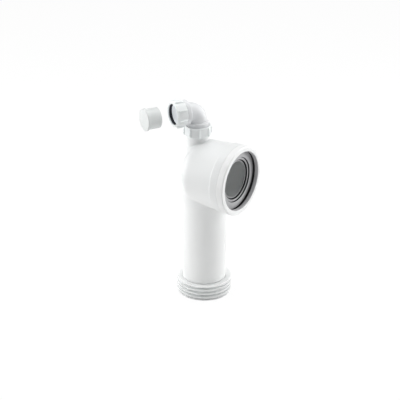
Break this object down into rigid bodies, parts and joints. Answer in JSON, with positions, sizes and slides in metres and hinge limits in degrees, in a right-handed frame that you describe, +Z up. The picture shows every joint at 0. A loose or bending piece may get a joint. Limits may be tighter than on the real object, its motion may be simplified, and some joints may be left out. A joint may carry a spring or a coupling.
{
  "type": "toilet pan connector",
  "caption": "Bent pan connector: finned seals join a toilet's outlet to an upright soil pipe, and a swivel elbow on top takes a waste pipe or its blanking plug.",
  "frame": {"origin": "centre of the outlet seal's foot, on the plane that the upright connector stands on", "axes": "+Z up the spigot pipe, +X out of the pan socket, +Y to the left of someone looking out of the pan socket"},
  "size_m": [0.1839, 0.186, 0.4277],
  "materials": {
    "body_plastic": "satin",
    "ring_plastic": "satin",
    "elbow_plastic": "satin",
    "nut_plastic": "satin",
    "plug_plastic": "satin",
    "washer_plastic": "satin",
    "dark_plastic": "satin",
    "inlet_rubber": "matt",
    "outlet_rubber": "matt",
    "dark_rubber": "matt"
  },
  "bodies": {
    "connector": {"connector_body": "body_plastic", "seal_retaining_ring": "ring_plastic", "inlet_seal": "inlet_rubber", "outlet_seal": "outlet_rubber", "boss_seal_ring": "dark_rubber", "boss_slip_washer": "washer_plastic"},
    "elbow": {"swivel_elbow": "elbow_plastic", "waste_seal_ring": "dark_rubber", "waste_slip_washer": "dark_plastic"},
    "lower_nut": {"boss_nut": "nut_plastic"},
    "side_nut": {"waste_nut": "nut_plastic"},
    "plug": {"blanking_plug": "plug_plastic"}
  },
  "joints": [
    {"name": "elbow_swivel", "type": "hinge", "parent": "connector", "child": "elbow", "pos_m": [-0.0195, 0, 0.3988], "axis": [0, 0, 1], "continuous": true},
    {"name": "boss_nut_turn", "type": "hinge", "parent": "elbow", "child": "lower_nut", "pos_m": [-0.0195, 0, 0.3568], "axis": [0, 0, 1], "continuous": true},
    {"name": "waste_nut_turn", "type": "hinge", "parent": "elbow", "child": "side_nut", "pos_m": [-0.0195, 0, 0.3988], "axis": [-0.4787, -0.878, 0], "continuous": true},
    {"name": "plug_slide", "type": "slide", "parent": "elbow", "child": "plug", "axis": [-0.4787, -0.878, 0], "range_m": [-0.0576, 0]}
  ]
}
